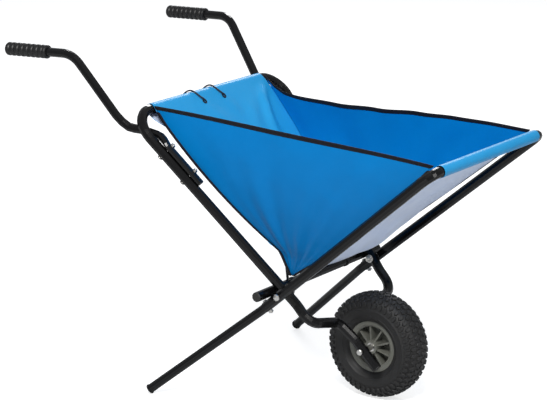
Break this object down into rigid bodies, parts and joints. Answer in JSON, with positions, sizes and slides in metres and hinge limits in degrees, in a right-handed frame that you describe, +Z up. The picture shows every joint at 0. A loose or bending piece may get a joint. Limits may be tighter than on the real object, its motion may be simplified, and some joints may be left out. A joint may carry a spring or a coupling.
{
  "type": "folding one-wheel camping cart",
  "caption": "Folding barrow-style cart: crossed bent-tube frames, sling tub of coated cloth, raised handles with ribbed grips and a pneumatic wheel between fork ends.",
  "frame": {"origin": "on the floor, under the middle of the opened cart's bounding box", "axes": "+X forward to the wheel, +Y to the left side when standing between the grips, +Z up"},
  "size_m": [1.181, 0.6628, 0.8211],
  "materials": {
    "black_gloss_tube": "gloss black powder coat",
    "black_plastic": "moulded black",
    "grip_rubber": "ribbed matt",
    "steel_fasteners": "zinc plated",
    "rim_plastic": "grey moulded",
    "tyre_rubber": "matt black",
    "blue_cloth": "coated woven polyester",
    "binding_tape": "woven black tape and cord"
  },
  "bodies": {
    "main_frame": {"frame_tube": "black_gloss_tube", "handle_left": "black_gloss_tube", "handle_right": "black_gloss_tube", "stop_bar": "black_gloss_tube", "stop_bar_cap_left": "black_plastic", "stop_bar_cap_right": "black_plastic", "fork_cap_left": "black_plastic", "fork_cap_right": "black_plastic", "handle_cap_left": "black_plastic", "handle_cap_right": "black_plastic", "pivot_washer_left": "black_plastic", "pivot_washer_right": "black_plastic", "grip_left": "grip_rubber", "grip_right": "grip_rubber", "axle_bolt": "steel_fasteners", "axle_nut": "steel_fasteners", "hub_spacer_left": "steel_fasteners", "hub_spacer_right": "steel_fasteners", "eyelet_left": "steel_fasteners", "eyelet_right": "steel_fasteners", "pivot_bolt_left": "steel_fasteners", "pivot_bolt_right": "steel_fasteners", "pivot_nut_left": "steel_fasteners", "pivot_nut_right": "steel_fasteners", "handle_bolt_upper_left": "steel_fasteners", "handle_bolt_upper_right": "steel_fasteners", "handle_bolt_lower_left": "steel_fasteners", "handle_bolt_lower_right": "steel_fasteners", "handle_nut_upper_left": "steel_fasteners", "handle_nut_upper_right": "steel_fasteners", "handle_nut_lower_left": "steel_fasteners", "handle_nut_lower_right": "steel_fasteners", "tub_rear_panel": "blue_cloth", "tub_floor": "blue_cloth", "tub_side_left": "blue_cloth", "tub_side_right": "blue_cloth", "top_binding_left": "binding_tape", "top_binding_right": "binding_tape", "rear_binding_left": "binding_tape", "rear_binding_right": "binding_tape", "bar_tie_left": "binding_tape", "bar_tie_right": "binding_tape", "closure_cord": "binding_tape"},
    "front_frame": {"front_tube": "black_gloss_tube", "leg_left": "black_gloss_tube", "leg_right": "black_gloss_tube", "foot_cap_left": "black_plastic", "foot_cap_right": "black_plastic", "leg_bolt_left": "steel_fasteners", "leg_bolt_right": "steel_fasteners", "leg_nut_left": "steel_fasteners", "leg_nut_right": "steel_fasteners", "tub_front_panel": "blue_cloth"},
    "wheel": {"tyre": "tyre_rubber", "inner_tube": "grip_rubber", "rim": "rim_plastic", "bearing_left": "steel_fasteners", "bearing_right": "steel_fasteners"}
  },
  "joints": [
    {"name": "fold", "type": "hinge", "parent": "main_frame", "child": "front_frame", "pos_m": [0.14652, 0, 0.278], "axis": [0, -1, 0], "range_deg": [0, 70], "deforming": ["tub_side_left", "tub_side_right", "tub_floor", "top_binding_left", "top_binding_right", "rear_binding_left", "rear_binding_right"]},
    {"name": "wheel_spin", "type": "hinge", "parent": "main_frame", "child": "wheel", "pos_m": [0.28452, 0, 0.13], "axis": [0, 1, 0], "continuous": true}
  ]
}
